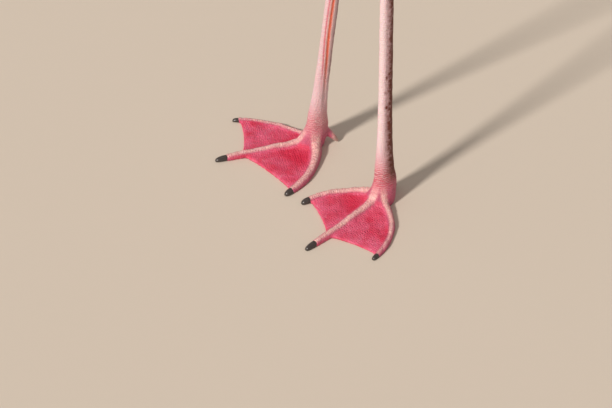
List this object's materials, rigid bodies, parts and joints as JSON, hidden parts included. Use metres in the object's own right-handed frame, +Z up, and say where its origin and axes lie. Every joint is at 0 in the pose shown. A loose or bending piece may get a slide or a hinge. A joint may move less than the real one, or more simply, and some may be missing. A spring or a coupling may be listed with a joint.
{
  "type": "flamingo",
  "caption": "Life-size standing greater flamingo, a still model: long legs on webbed feet, S-shaped neck, folded wings and a sharply bent bill.",
  "frame": {"origin": "on the floor under the centre of the bounding box, between and just behind the feet", "axes": "+Z up through the standing bird; the bird faces -Y; its left side is +X"},
  "size_m": [0.2462, 0.7819, 1.3694],
  "materials": {
    "pale_plumage": "soft matte feathers, pinkish white",
    "wing_plumage": "soft matte feathers, pale to deep pink",
    "flight_feathers": "smooth black feathers with a slight sheen",
    "bill_horn": "satin horn, pink with a black tip",
    "eye": "wet gloss, pale yellow iris and black pupil",
    "leg_skin": "satin scaled skin, pale pink",
    "web_skin": "satin fine-grained skin, crimson pink",
    "claw_horn": "satin horn, near black"
  },
  "bodies": {
    "root": {"head": "pale_plumage", "neck_upper": "pale_plumage", "neck_middle": "pale_plumage", "neck_lower": "pale_plumage", "trunk": "pale_plumage", "tail": "pale_plumage", "thigh_left": "pale_plumage", "thigh_right": "pale_plumage", "wing_left": "wing_plumage", "wing_right": "wing_plumage", "primaries_left": "flight_feathers", "primaries_right": "flight_feathers", "bill_upper": "bill_horn", "bill_lower": "bill_horn", "eye_left": "eye", "eye_right": "eye", "shin_left": "leg_skin", "shin_right": "leg_skin", "tarsus_left": "leg_skin", "tarsus_right": "leg_skin", "foot_left": "web_skin", "foot_right": "web_skin", "claw_left_inner": "claw_horn", "claw_left_middle": "claw_horn", "claw_left_outer": "claw_horn", "claw_left_hind": "claw_horn", "claw_right_inner": "claw_horn", "claw_right_middle": "claw_horn", "claw_right_outer": "claw_horn", "claw_right_hind": "claw_horn"}
  },
  "joints": []
}
